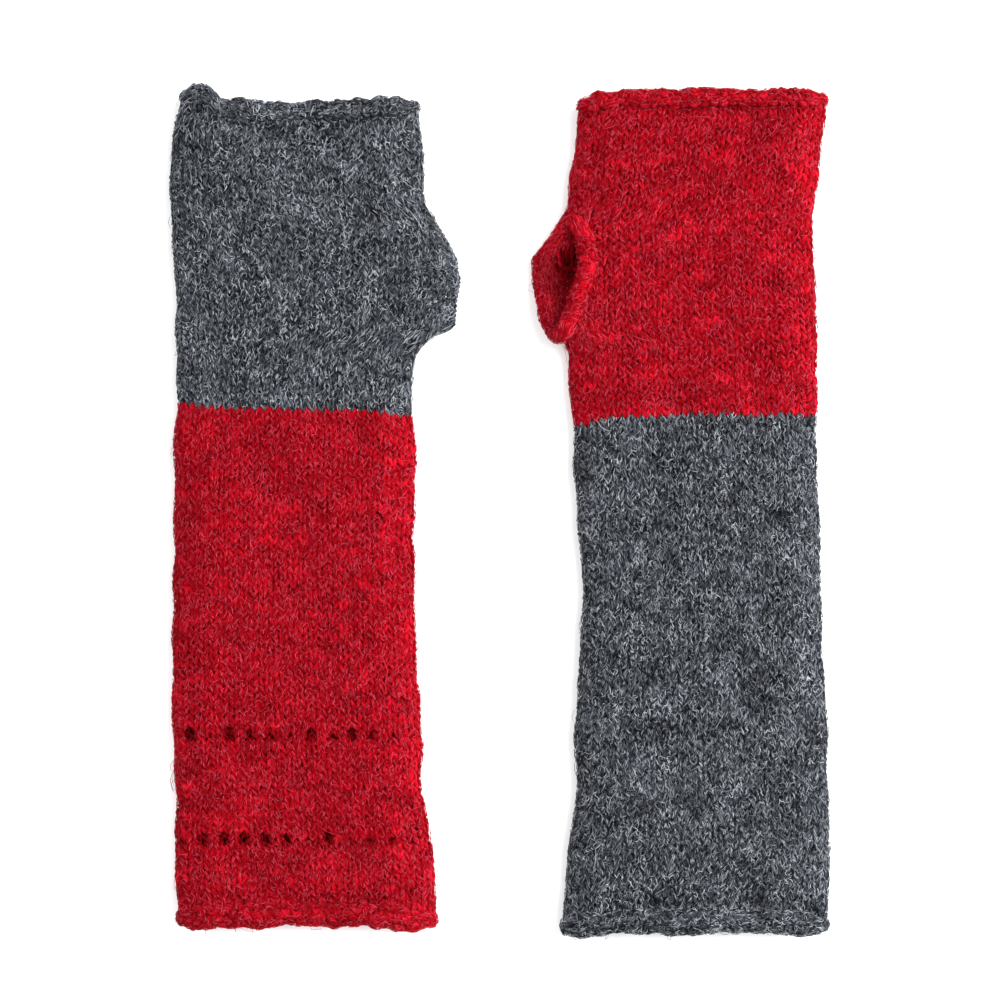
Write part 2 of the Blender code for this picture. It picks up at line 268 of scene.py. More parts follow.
def flat_oval(turn, half_width, half_depth):
    """A lying tube's section: x, z and the outward normal at a share of the way round.

    The turn starts at the middle of the upper side and first runs towards +X.
    """
    reach = half_width - half_depth
    fold = math.pi * half_depth
    way = (turn % 1.0) * (4 * reach + 2 * fold)
    right = (way - reach) / half_depth
    left = (way - 3 * reach - fold) / half_depth
    parts = [way < reach, way < reach + fold, way < 3 * reach + fold, way < 3 * reach + 2 * fold]
    zero = np.zeros_like(way)
    one = zero + 1.0
    x = np.select(
        parts,
        [way, reach + half_depth * np.sin(right), 2 * reach + fold - way, -reach - half_depth * np.sin(left)],
        way - 4 * reach - 2 * fold,
    )
    normal_x = np.select(parts, [zero, np.sin(right), zero, -np.sin(left)], zero)
    normal_z = np.select(parts, [one, np.cos(right), -one, -np.cos(left)], one)
    return x, normal_z * half_depth, normal_x, normal_z


def curl(over, out, reach, size=1.0):
    """A roll past an edge: how far along and out a point of the fabric ends up."""
    angle = over / ((reach + CURL_HEIGHT) / 2)
    reach, height = reach * size, CURL_HEIGHT * size
    along = np.maximum(reach - out, 0.05 * MM) * np.sin(angle)
    outward = height - np.maximum(height - out, 0.05 * MM) * np.cos(angle)
    return along, outward


def curl_length(reach, turn=CURL_TURN):
    """Length of the fabric in a roll."""
    return turn * (reach + CURL_HEIGHT) / 2


# ---- the fabric's shape


class Tube:
    """One glove's arm and hand tube: where a point of its fabric lies."""

    def __init__(self, name, glove):
        self.name = name
        self.glove = glove
        self.wools = glove["wools"]
        self.grain = 0.0  # straight up the tube
        self.seed = SEEDS[name]
        self.stitches = STITCHES_ROUND
        self.girth = GIRTH
        cuff, hand = (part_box(f"{name}_{part}_tube") for part in ("cuff", "hand"))
        arm_roll, finger_roll = (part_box(f"{name}_{part}_edge_roll") for part in ("arm", "finger"))
        self.line = (cuff[1].y + hand[0].y) / 2
        self.arm = (arm_roll[0].y + arm_roll[1].y) / 2
        self.finger = (finger_roll[0].y + finger_roll[1].y) / 2
        self.arm_reach = (arm_roll[1].y - arm_roll[0].y) / 2 - YARN_RADIUS
        self.finger_reach = (finger_roll[1].y - finger_roll[0].y) / 2 - YARN_RADIUS
        self.arm_curl = curl_length(self.arm_reach)
        self.finger_curl = curl_length(self.finger_reach)
        self.height = cuff[1].z
        self.side = glove["side"]
        self.open_thumb = glove["near_rim"] is not None
        self.inner = 2 if self.side > 0 else 1  # the column of the thumb's side fold in edges
        self.thumb_low, self.thumb_top = (corner.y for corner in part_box(f"{name}_thumb_tube"))
        # Above this, an open thumb's far layer is off the hand's lower layer, which closes the gap
        self.risen = (self.thumb_low + self.thumb_top) / 2 + 8.0 * MM
        self.edges = self.side_folds()
        self.eyelets = []

    def side_folds(self):
        """(y, left fold, right fold) of the middle surface, from the CAD tubes' upper sides."""
        points = np.concatenate([node_points(f"{self.name}_{part}_tube") for part in ("cuff", "hand")])
        top = points[points[:, 2] > self.height - 0.05 * MM]
        rows = []
        for y in np.unique(np.round(top[:, 1], 4)):
            across = top[np.abs(top[:, 1] - y) < 0.1 * MM][:, 0]
            inset = self.height / 2 - FABRIC_HALF
            rows.append((y, across.min() - inset, across.max() + inset))
        table = np.array(rows)
        steps = np.linspace(self.arm, self.finger, 160)
        window = np.hanning(11)
        window /= window.sum()
        folds = []
        for column, wander in ((1, "left_wander"), (2, "right_wander")):
            heights, shifts = np.array(sorted(self.glove[wander])).T * MM
            line = np.interp(steps, table[:, 0], table[:, column]) + np.interp(steps, heights, shifts)
            line = np.convolve(np.pad(line, 5, mode="edge"), window, mode="valid")
            folds.append(line)
        folds = np.stack([steps, *folds], axis=1)
        low, high = self.thumb_low, self.thumb_top
        gusset = between(steps, low - 2 * MM, low + 7 * MM, high - 4 * MM, high + 9 * MM)
        folds[:, self.inner] += self.side * GUSSET * gusset
        return folds

    def inner_fold(self, y):
        """The x of the side fold that the thumb is on."""
        return np.interp(y, self.edges[:, 0], self.edges[:, self.inner])

    def painted_shade_factor(self, round_, along):
        """1 on the fabric, and less where shade is painted into the colour: over the eyelets and inside an
        open thumb's mouth.
        """
        light = np.ones(np.broadcast(round_, along).shape)
        # Painted shade in each eyelet, where the hole is dark
        for across, middle, size in self.eyelets:
            if np.min(along) < middle + EYELET_RANGE and np.max(along) > middle - EYELET_RANGE:
                x, y = gap_round(round_, across) / EYELET_SHADE[0], (along - middle) / EYELET_SHADE[1]
                light = light * (1 - 0.6 * size * np.exp(-((x**2 + y**2) ** 2)))
        # Painted shade on the lower layer beside the side fold, in the crevice under an open thumb
        if self.open_thumb:
            from_fold = ((round_ / GIRTH) % 1.0 - (0.25 if self.side > 0 else 0.75)) * GIRTH
            top = self.thumb_top
            level = between(along, self.risen - 4 * MM, self.risen, top - 6 * MM, top)
            light = light * (1 - 0.85 * level * np.exp(-((from_fold / (8 * MM)) ** 2)))
        return light

    def thumb_crease(self, in_from_fold, y):
        """Depth of the crease that runs up from the thumb's mouth, over the hand."""
        x, y = in_from_fold - 9.0 * MM, y - self.thumb_top - 3.5 * MM
        across, along = 0.84 * x - 0.54 * y, 0.54 * x + 0.84 * y
        return CREASE_DEPTH * np.exp(-((across / CREASE_WIDTH) ** 2) - (along / CREASE_LENGTH) ** 2)

    def bound(self, start):
        """Whether places are on a bound-off edge: none are, because this tube's ends roll up."""
        return np.zeros(len(start), bool)

    def facing(self, start):
        """1 where the fabric's knit side shows, -1 in a roll, where its purl side does."""
        rolled = (start[:, 1] < self.arm - 1.5 * MM) | (start[:, 1] > self.finger + 1.5 * MM)
        return np.where(rolled, -1.0, 1.0)

    def place(self, round_, along, out):
        """The world point of a point in fabric coordinates."""
        turn = round_ / GIRTH
        row = np.clip(along, self.arm, self.finger)
        left = np.interp(row, self.edges[:, 0], self.edges[:, 1])
        right = np.interp(row, self.edges[:, 0], self.edges[:, 2])
        arm_flare = 1 - smooth(row, self.arm, self.arm + FLARE)
        flare = np.maximum(arm_flare, smooth(row, self.finger - FLARE, self.finger))
        half_depth = self.height / 2 - FABRIC_HALF
        half_depth = half_depth + (EDGE_HALF_DEPTH - half_depth) * flare
        middle = self.height / 2 + (EDGE_MIDDLE - self.height / 2) * flare
        half_width = (right - left) / 2 - END_NARROWING * flare
        x, z, normal_x, normal_z = flat_oval(turn, half_width, half_depth)
        across = np.clip(x / half_width, -1, 1)
        low, top = self.thumb_low, self.thumb_top
        beside = between(row, low - 6 * MM, low + 4 * MM, top - 4 * MM, top + 6 * MM)
        beside = beside * (x * self.side > 0)
        fall = np.where(x > 0, DOME_RIGHT, DOME_LEFT) * (1 - beside) * (1 - 0.5 * flare)
        z = z - fall * smooth(np.abs(across), DOME_FROM, 1.0) * smooth(normal_z, -0.5, 0.5)

        arm_over = self.arm - along
        finger_over = along - self.finger
        around = 2 * math.pi * turn
        size = 1 + CURL_UNEVEN * wave_noise(6 * np.cos(around), 6 * np.sin(around), self.seed + 9, 5.0)
        size = size * (1 - CURL_SHRINK * smooth(np.abs(across), SHRINK_FROM, 1.0))
        arm_along, arm_out = curl(arm_over, out, self.arm_reach, size)
        finger_along, finger_out = curl(finger_over, out, self.finger_reach, size)
        y = np.where(arm_over > 0, self.arm - arm_along, along)
        y = np.where(finger_over > 0, self.finger + finger_along, y)
        off = np.where(arm_over > 0, arm_out, np.where(finger_over > 0, finger_out, out))

        ripple = RIPPLE * wave_noise(x, y, self.seed, RIPPLE_SCALE) * smooth(normal_z, -0.4, 0.6)
        wander = WANDER * wave_noise(y, np.sign(x) * 0.2, self.seed + 5, WANDER_SCALE) * np.abs(across) ** 3
        behind = np.minimum(along - self.arm, self.finger - along) - GROOVE_BEHIND
        groove = GROOVE_DEPTH * np.exp(-((behind / GROOVE_WIDTH) ** 2))
        off = off + ripple - groove * smooth(normal_z, 0.3, 1.0)
        if self.open_thumb:
            off = off - self.thumb_crease((left + right) / 2 + x - left, y) * smooth(normal_z, 0.3, 1.0)
        # The glove's fabric is shifted along Y, by more or less from its left to its right fold
        arm_lie, line_lie, finger_lie = (
            read_table(self.glove[table], across) for table in ("arm_lie", "line_lie", "finger_lie")
        )
        lie = arm_lie * (1 - smooth(y, self.arm, self.arm + END_SHIFT))
        lie = lie + finger_lie * smooth(y, self.finger - END_SHIFT, self.finger)
        edge = 1 - smooth(y, self.arm, self.arm + HEM) + smooth(y, self.finger - HEM, self.finger)
        lie = lie + PUCKER * edge * wave_noise(x, normal_z * 30 * MM, self.seed + 7, PUCKER_SCALE)
        lie = lie + line_lie * np.exp(-(((y - self.line) / LINE_SHIFT) ** 2))
        return np.stack(
            [
                (left + right) / 2 + x + normal_x * off + wander,
                y + lie,
                np.maximum(middle + z + normal_z * off, FLOOR_GAP),
            ],
            axis=-1,
        )

    def follow(self, piece):
        """The piece is attached to the cuff's or the hand's body if it lies wholly on one side of the wrist's
        stretch, and otherwise its transform is baked into its points.
        """
        ys = [corner[1] for corner in piece.bound_box]
        if max(ys) <= self.line - WRIST_HALF:
            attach(piece, f"{self.name}_cuff")
        elif min(ys) >= self.line + WRIST_HALF:
            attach(piece, f"{self.name}_hand")
        else:
            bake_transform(piece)


class Thumb:
    """One glove's thumb: the fabric between the hole in the hand and the slanted mouth."""

    def __init__(self, name, glove, tube):
        self.name = name
        self.side = glove["side"]
        self.tube = tube
        self.stitches = THUMB_STITCHES
        self.girth = THUMB_STITCHES * STITCH_WIDTH
        self.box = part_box(f"{name}_thumb_tube")
        self.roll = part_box(f"{name}_thumb_edge_roll")
        self.middle = tube.height / 2
        self.far_rim = glove["far_rim"]
        self.near_rim = glove["near_rim"]
        self.open_up = tube.open_thumb
        self.form = {key: pair[0 if self.open_up else 1] for key, pair in THUMB_FORMS.items()}
        self.grain = glove["thumb_grain"]
        self.length = THUMB_ROUNDS * THUMB_ROW
        self.roll_length = curl_length(self.form["reach"], self.form["turn"])
        self.hole = (self.box[0].y + HOLE_LOW, self.box[1].y - self.form["hole_high"])

    def mouth_x(self, y, high):
        """The mouth's x at y, for a share of the way from its lower to its upper side."""
        tip = self.roll[1].x if self.side > 0 else self.roll[0].x
        base = self.box[0].x if self.side > 0 else self.box[1].x
        low_y, high_y = self.roll[0].y, self.roll[1].y
        t = (y - (low_y + high_y) / 2) / ((high_y - low_y) / 2)
        overhang = 1.5 * MM + YARN_RADIUS + self.form["overhang"]
        far = tip - self.side * (overhang + read_table(self.far_rim, t))
        if self.open_up:
            near = tip - self.side * read_table(self.near_rim, t)
            return far + (near - far) * high
        near = base + 2.5 * MM
        return near + (far - near) * high

    def facing(self, start):
        """1 where the knit side shows, and -1 in the roll and on the far layer inside an open mouth."""
        inside = np.zeros(len(start), bool)
        if self.open_up:
            inside = np.abs((start[:, 0] / self.girth) % 1.0 - 0.5) < 0.22
        rolled = (start[:, 1] > self.length + 1.0 * MM) & self.open_up
        return np.where(rolled | inside, -1.0, 1.0)

    def bound(self, start):
        """Whether places are on the bound-off edge, where the fibres follow the edge."""
        return (start[:, 1] > self.length + 0.5 * MM) & (not self.open_up)

    def painted_shade_factor(self, round_, along):
        """1 in the open, and less where shade is painted on the far layer deep inside an open mouth."""
        if not self.open_up:
            return np.ones(np.broadcast(round_, along).shape)
        turn = (round_ / self.girth) % 1.0
        # Painted shade in the crevice under the near rim, strongest deep in the mouth
        height, _, _, _ = flat_oval(turn, 1.0, 0.1)
        deep = np.exp(-(((height - 0.17) / 0.3) ** 2)) + 0.35 * np.exp(-(((height + 0.55) / 0.2) ** 2))
        dark = np.minimum(deep, 1.0) * (1 - smooth(along / self.length, 0.15, 0.6))
        return np.where(np.abs(turn - 0.5) < 0.24, 1 - 0.85 * dark, 1.0)

    def place(self, round_, along, out):
        """The world point of a point in fabric coordinates."""
        turn = round_ / self.girth
        share = np.clip(along / self.length, 0.0, 1.0)
        half_depth = self.middle - FABRIC_HALF
        # The base follows the hand's fold, and the mouth is shorter
        base_low = self.box[0].y - THUMB_BASE_LOW
        base_high = self.box[1].y + self.form["base_high"]
        mouth_low = self.roll[0].y + self.form["mouth_low"]
        mouth_high = self.roll[1].y + self.form["mouth_high"]
        rings = []
        for low, high in ((base_low, base_high), (mouth_low, mouth_high)):
            x, z, normal_x, normal_z = flat_oval(turn, (high - low) / 2, half_depth)
            rings.append(((low + high) / 2 - self.side * x, z, -self.side * normal_x, normal_z))
        (base_y, base_z, normal_y, normal_z), (mouth_y, mouth_z, _, _) = rings
        high = (base_z / half_depth + 1) / 2
        base_x = self.tube.inner_fold(base_y) - self.side * self.form["inset"]
        if self.open_up:
            base_x = base_x + 3.5 * MM * high
        base = np.stack([base_x, base_y, self.middle + base_z], axis=-1)
        mouth_z = self.middle + mouth_z * MOUTH_FLATNESS + self.form["lift"]
        mouth = np.stack([self.mouth_x(mouth_y, high), mouth_y, mouth_z], axis=-1)
        axis = np.array([float(self.side), 0.0, 0.0])
        outward = unit(np.stack([np.zeros_like(turn), normal_y, normal_z], axis=-1))
        # The far layer rises to close the upper part of an open mouth
        if self.open_up:
            t = (mouth_y - (mouth_low + mouth_high) / 2) / ((mouth_high - mouth_low) / 2)
            rise = CLOSING * (smooth(t, 0.2, 0.65) + 0.6 * smooth(-t, 0.0, 0.4)) * (1 - high)
            mouth[..., 2] = mouth[..., 2] + rise
            base[..., 2] = base[..., 2] + rise
        belly = np.sin(math.pi * share) * THUMB_BELLY
        spread = share**0.8
        point = base + (mouth - base) * spread[..., None] + outward * belly[..., None]
        over = along - self.length
        size = 1 + RIM_SWELL * high if self.open_up else 1 - 0.5 * smooth(np.abs(normal_y), 0.3, 1.0)
        curl_along, curl_out = curl(over, out, self.form["reach"], size)
        rolled = over > 0
        point = point + axis * np.where(rolled, curl_along, 0.0)[..., None]
        point = point + outward * np.where(rolled, curl_out, out)[..., None]
        point[..., 2] = np.maximum(point[..., 2], FLOOR_GAP)
        return point

    def follow(self, piece):
        """The piece's transform is baked into its points."""
        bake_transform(piece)


# ---- meshes


class Faces:
    """Collects points, faces and yarn coordinates of many tubes, and makes one mesh of them."""

    def __init__(self):
        self.points = []
        self.corners = []
        self.sizes = []
        self.uvs = []
        self.values = []
        self.count = 0

    def add(self, points, polygons, uvs, values):
        """polygons is an (n, k) array of indices, uvs an (n, k, 2) array."""
        self.points.append(points.reshape(-1, 3))
        self.values.append(values.reshape(-1))
        for faces, face_uvs in zip(polygons, uvs):
            self.corners.append((faces + self.count).reshape(-1))
            self.sizes.append(np.full(len(faces), faces.shape[1]))
            self.uvs.append(face_uvs.reshape(-1, 2))
        self.count += points.reshape(-1, 3).shape[0]

    def make(self, name, material, attribute):
        points = np.concatenate(self.points).astype(np.float32)
        corners = np.concatenate(self.corners).astype(np.int32)
        sizes = np.concatenate(self.sizes).astype(np.int32)
        mesh = bpy.data.meshes.new(name)
        mesh.vertices.add(len(points))
        mesh.vertices.foreach_set("co", points.ravel())
        mesh.loops.add(len(corners))
        mesh.loops.foreach_set("vertex_index", corners)
        mesh.polygons.add(len(sizes))
        mesh.polygons.foreach_set("loop_start", np.concatenate([[0], np.cumsum(sizes)[:-1]]).astype(np.int32))
        mesh.update(calc_edges=True)
        mesh.shade_smooth()
        layer = mesh.uv_layers.new(name="yarn")
        layer.uv.foreach_set("vector", np.concatenate(self.uvs).astype(np.float32).ravel())
        store = mesh.attributes.new(attribute, "FLOAT", "POINT")
        store.data.foreach_set("value", np.concatenate(self.values).astype(np.float32))
        mesh.materials.append(material)
        piece = bpy.data.objects.new(name, mesh)
        bpy.context.scene.collection.objects.link(piece)
        return piece


def rings_round(path, radius, sides, flatness, period=None):
    """Rings of points round paths in fabric coordinates. period is a closed path's length round."""
    if period is None:
        before = 2 * path[:, :1] - path[:, 1:2]
        after = 2 * path[:, -1:] - path[:, -2:-1]
    else:
        shift = np.array([period, 0.0, 0.0])
        before = path[:, -1:] - shift
        after = path[:, :1] + shift
    whole = np.concatenate([before, path, after], axis=1)
    tangent = unit(whole[:, 2:] - whole[:, :-2])
    side = unit(np.cross(tangent, np.array([0.0, 0.0, 1.0])))
    up = np.cross(side, tangent)
    angle = np.arange(sides) * 2 * math.pi / sides
    across = side[:, :, None] * np.sin(angle)[None, None, :, None]
    above = up[:, :, None] * np.cos(angle)[None, None, :, None] * flatness
    return path[:, :, None] + (across + above) * radius[:, :, None, None]


def tube_faces(count, stations, sides, closed):
    """Quads between neighbouring rings of each tube, with their yarn coordinates."""
    spans = stations if closed else stations - 1
    tube, span, step = np.meshgrid(np.arange(count), np.arange(spans), np.arange(sides), indexing="ij")
    start = tube * stations * sides
    here, there = start + span * sides, start + (span + 1) % stations * sides
    after = (step + 1) % sides
    quads = np.stack([here + step, here + after, there + after, there + step], axis=-1).reshape(-1, 4)
    u = np.stack([span, span, span + 1, span + 1], axis=-1) + tube[..., None] * 7.3
    v = np.stack([step, step + 1, step + 1, step], axis=-1) / sides
    return quads, np.stack([u, v], axis=-1).reshape(-1, 4, 2)


def add_open_tube(faces, rings, skin):
    """Adds one tube of six sides, with both its ends closed."""
    stations = rings.shape[1]
    quads, uvs = tube_faces(1, stations, YARN_SIDES, False)
    halves = np.array([[3, 2, 1, 0], [5, 4, 3, 0]])
    caps = np.concatenate([halves, halves[:, ::-1] + (stations - 1) * YARN_SIDES])
    faces.add(rings, [quads, caps], [uvs, np.zeros((len(caps), 4, 2))], skin)


# ---- knitting


def loop_paths(rows, spacing, first, last, rng):
    """Yarn paths in fabric coordinates through stitches first to last of each row, and radii."""
    columns = np.arange(first, last)
    share = np.arange(LOOP_POINTS) / LOOP_POINTS
    phase = 2 * math.pi * share
    stray = rng.normal(0, UNEVEN, (4, len(rows), len(columns) + 1))
    stray[:, :, -1] = stray[:, :, 0]
    eased = stray[:, :, :-1, None] * (1 - share) + stray[:, :, 1:, None] * share
    shape = (len(rows), len(columns), LOOP_POINTS)
    round_ = (columns[:, None] + share) * STITCH_WIDTH + LOOP_SWING * np.sin(2 * phase)
    along = rows[:, None, None] + LOOP_REACH * spacing * np.cos(phase)
    out = np.broadcast_to(-LOOP_DEPTH * np.cos(2 * phase), shape)
    path = np.stack(
        [
            np.broadcast_to(round_, shape) + eased[0] * 1.2,
            np.broadcast_to(along, shape) + eased[1] * 1.2,
            out + eased[2] * 0.8,
        ],
        axis=-1,
    )
    radius = YARN_RADIUS * (1 + eased[3] / MM * 0.55)
    return path.reshape(len(rows), -1, 3), radius.reshape(len(rows), -1)


def open_eyelets(path, rows, centres):
    """Leads the rounds above each eyelet over it and the rounds below under it."""
    for across, middle, size in centres:
        gap = gap_round(path[..., 0], across)
        width = EYELET_HALF_WIDTH * size + YARN_RADIUS
        height = EYELET_HALF_HEIGHT * size + YARN_RADIUS
        half = height * np.sqrt(np.maximum(0.0, 1 - (gap / width) ** 2))
        above = rows[:, None] > middle
        y = path[..., 1]
        pushed = np.where(above, np.maximum(y, middle + half), np.minimum(y, middle - half))
        path[..., 1] = np.where(np.abs(gap) < width, pushed, y)
    return path


def yarn_lumps(points, rng):
    """Small uneven lumps over a yarn's surface."""
    points[..., 2] += rng.normal(0, 0.05 * MM, points.shape[:-1])
    points[..., :2] += rng.normal(0, 0.04 * MM, points.shape[:-1] + (2,))
    return points


def knit_rounds(faces, surface, rows, spacing, rng, eyelets=(), least_painted_light=0.0):
    """Closed rounds of stitches."""
    path, radius = loop_paths(rows, spacing, 0, surface.stitches, rng)
    path = open_eyelets(path, rows, eyelets)
    points = rings_round(path, radius, YARN_SIDES, YARN_FLATNESS, surface.girth)
    points = yarn_lumps(points, rng)
    # Painted light: the deeper a point lies in the fabric, the darker it is painted, which paints shade into
    # the pits between stitches; the surface's painted shade is multiplied in
    skin = np.maximum(np.abs(points[..., 2]) / FABRIC_HALF, least_painted_light)
    skin = skin * surface.painted_shade_factor(points[..., 0], points[..., 1])
    quads, uvs = tube_faces(len(rows), path.shape[1], YARN_SIDES, True)
    faces.add(laid(surface, points), [quads], [uvs], skin)


def bound_edge(faces, surface, along, rng):
    """The bound-off edge of a tube: two yarns twisted round each other, one turn to a stitch."""
    round_ = np.arange(surface.stitches * BOUND_STEPS) * STITCH_WIDTH / BOUND_STEPS
    angle = 2 * math.pi * round_ / STITCH_WIDTH + np.array([[0.0], [math.pi]])
    path = np.empty(angle.shape + (3,))
    path[..., 0] = round_
    path[..., 1] = along + BOUND_SWING * np.cos(angle)
    path[..., 2] = BOUND_SWING * np.sin(angle)
    radius = np.full(angle.shape, 0.8 * YARN_RADIUS)
    points = rings_round(path, radius, YARN_SIDES, YARN_FLATNESS, surface.girth)
    points = yarn_lumps(points, rng)
    quads, uvs = tube_faces(2, path.shape[1], YARN_SIDES, True)
    faces.add(laid(surface, points), [quads], [uvs], np.full(points.shape[:-1], 0.8))


def knit_span(faces, surface, row, spacing, first, last, rng):
    """A row of stitches from first to last, open at both ends."""
    path, radius = loop_paths(np.array([row]), spacing, first, last, rng)
    points = yarn_lumps(rings_round(path, radius, YARN_SIDES, YARN_FLATNESS), rng)
    # Painted light by depth, which paints shade into the pits
    add_open_tube(faces, laid(surface, points), np.abs(points[..., 2]) / FABRIC_HALF)


def row_places(start, stop, count):
    """Middles of count equal rounds from start to stop, and their spacing."""
    spacing = abs(stop - start) / count
    return start + (np.arange(count) + 0.5) * (stop - start) / count, spacing


def hole_columns(tube, thumb, row):
    """The first and last stitch that a row keeps beside the thumb hole, or None."""
    centres = (np.arange(STITCHES_ROUND) + 0.5) * STITCH_WIDTH
    where = tube.place(centres, np.full(STITCHES_ROUND, row), np.zeros(STITCHES_ROUND))
    if not thumb.hole[0] < row < thumb.hole[1]:
        return None
    upper = where[:, 2] > thumb.middle
    cut = np.full(STITCHES_ROUND, 3.5 * MM)
    if thumb.open_up:
        cut = np.where(upper, thumb.form["hole_depth"], 3.5 * MM if row < tube.risen else -4.0 * MM)
    gone = (tube.inner_fold(row) - where[:, 0]) * thumb.side < cut
    kept = np.flatnonzero(~gone)
    breaks = np.flatnonzero(np.diff(kept) > 1)
    if len(breaks) == 0:
        return int(kept[0]), int(kept[-1]) + 1
    after = breaks[0] + 1
    return int(kept[after]), int(kept[after - 1]) + 1 + STITCHES_ROUND


# ---- fibres


def on_stitches(start, facing, lattice, rng):
    """Moves places onto the part of the nearest stitch that shows, and gives its heading and height."""
    count = len(start)
    origin, spacing = lattice
    column = np.floor(start[:, 0] / STITCH_WIDTH)
    row = origin + (np.floor((start[:, 1] - origin) / spacing) + 0.5) * spacing
    share = rng.choice([0.25, 0.75], count) + np.where(facing < 0, 0.25, 0.0) + rng.normal(0, 0.06, count)
    phase = 2 * math.pi * share
    aside = np.clip(rng.normal(0, 0.5, count), -0.95, 0.95) * YARN_RADIUS
    round_ = (column + share) * STITCH_WIDTH + LOOP_SWING * np.sin(2 * phase)
    along = row + LOOP_REACH * spacing * np.cos(phase)
    rise = STITCH_WIDTH + 4 * math.pi * LOOP_SWING * np.cos(2 * phase)
    heading = np.arctan2(-2 * math.pi * LOOP_REACH * spacing * np.sin(phase), rise)
    place = np.stack([round_ - aside * np.sin(heading), along + aside * np.cos(heading)], axis=-1)
    height = LOOP_DEPTH + YARN_FLATNESS * np.sqrt(YARN_RADIUS**2 - aside**2)
    return place, heading, height


def fibre_faces(count):
    """Quads round count fibres, and triangles at their tips, which are the last two points of each."""
    last = (FIBRE_STATIONS - 3) * FIBRE_SIDES
    per = last + FIBRE_SIDES + 2
    quads = []
    tris = []
    for side in range(FIBRE_SIDES):
        after = (side + 1) % FIBRE_SIDES
        tris.append([per - 2, after, side])
        tris.append([per - 1, last + side, last + after])
        for ring in range(0, last, FIBRE_SIDES):
            quads.append([ring + side, ring + after, ring + FIBRE_SIDES + after, ring + FIBRE_SIDES + side])
    base = (np.arange(count) * per)[:, None, None]
    return [(base + np.array(polygons)[None]).reshape(-1, len(polygons[0])) for polygons in (quads, tris)]


def fibre_tubes(faces, surface, count, span, lattice, rng, keep):
    """Thin fibres over a span of the surface's length.

    keep says which places to use, and lattice is (origin, spacing) of the rounds.
    """
    start = np.stack([rng.uniform(0, surface.girth, count), rng.uniform(*span, count)], axis=-1)
    world = surface.place(start[:, 0], start[:, 1], np.zeros(count))
    start = start[keep(world, start, rng)]
    count = len(start)
    facing = surface.facing(start)
    loose = rng.random(count) < LOOSE_SHARE
    bound = surface.bound(start)
    stitched = (rng.random(count) < (0.0 if surface.grain else STITCH_SHARE)) & ~loose & ~bound
    length = np.where(loose, rng.uniform(6, 14, count), rng.uniform(1.4, 3.2, count)) * MM
    place, leg, height = on_stitches(start, facing, lattice, rng)
    start = np.where(stitched[:, None], place, start)
    free = rng.normal(math.pi / 2 + surface.grain, 0.55, count)
    free = np.where((rng.random(count) < 0.55) & (facing > 0), free, rng.uniform(0, 2 * math.pi, count))
    astray = rng.normal(0, 0.3, count)
    heading = np.where(stitched, leg + astray, np.where(bound, 2.0 * astray, free))
    bend = rng.normal(0, 1.0, count) * np.where(loose, 2.2, 0.9)
    sway = rng.normal(0, 0.5, count)
    t = np.linspace(0, 1, FIBRE_STATIONS)
    angle = heading[:, None] + bend[:, None] * (t - 0.5) + sway[:, None] * np.sin(2 * math.pi * t)
    step = (length / (FIBRE_STATIONS - 1))[:, None]
    dx = np.cumsum(np.cos(angle) * step, axis=1) - np.cos(angle) * step
    dy = np.cumsum(np.sin(angle) * step, axis=1) - np.sin(angle) * step
    dx = dx - dx.mean(axis=1, keepdims=True)
    dy = (dy - dy.mean(axis=1, keepdims=True)) * np.where(facing < 0, 0.6, 1.0)[:, None]
    rest = np.where(stitched, height, rng.uniform(1.1, 1.6, count) * MM)
    lift = np.where(loose, rng.uniform(0.6, 2.2, count), rng.uniform(0.0, 0.4, count)) * MM
    out = rest[:, None] + lift[:, None] * np.sin(math.pi * t)
    out = out + rng.normal(0, 0.05 * MM, (count, FIBRE_STATIONS))
    path = laid(surface, np.stack([start[:, :1] + dx, start[:, 1:] + dy, out * facing[:, None]], axis=-1))
    thickness = FIBRE_RADIUS * rng.uniform(0.65, 1.25, count) * np.where(loose, 0.65, 1.0)
    radius = thickness[:, None] * np.array([0.0, 1.0, 1.1, 1.0, 0.0])
    rings = rings_round(path, radius, FIBRE_SIDES, 1.0)
    tips = rings[:, [0, -1], 0]
    body = rings[:, 1:-1].reshape(count, -1, 3)
    points = np.concatenate([body, tips], axis=1)
    # Each fibre's own random tone, times the surface's painted shade
    tone = rng.random(count) * surface.painted_shade_factor(start[:, 0], start[:, 1])
    tone = np.repeat(tone[:, None], points.shape[1], axis=1)
    polygons = fibre_faces(count)
    faces.add(points, polygons, [np.zeros(kind.shape + (2,)) for kind in polygons], tone)


# ---- materials


def set_inputs(made, **values):
    """Sets a node's sockets by name, with _ for each space."""
    for key, value in values.items():
        made.inputs[key.replace("_", " ")].default_value = value


def node(tree, kind, own=(), **inputs):
    """A new node, with own as (name, value) pairs of its own settings."""
    made = tree.nodes.new(kind)
    for key, value in own:
        setattr(made, key, value)
    set_inputs(made, **inputs)
    return made


def ramp(tree, value, stops):
    """Colours for a value, from (value, colour) stops."""
    made = tree.nodes.new("ShaderNodeValToRGB")
    elements = made.color_ramp.elements
    while len(elements) < len(stops):
        elements.new(0.5)
    for element, (place, colour) in zip(elements, stops):
        element.position = place
        element.color = (*colour, 1.0)
    tree.links.new(value, made.inputs["Fac"])
    return made.outputs["Color"]


def multiply(tree, a, b):
    made = node(tree, "ShaderNodeMix", [("data_type", "RGBA"), ("blend_type", "MULTIPLY")])
    made.inputs[0].default_value = 1.0
    tree.links.new(a, made.inputs[6])
    tree.links.new(b, made.inputs[7])
    return made.outputs[2]


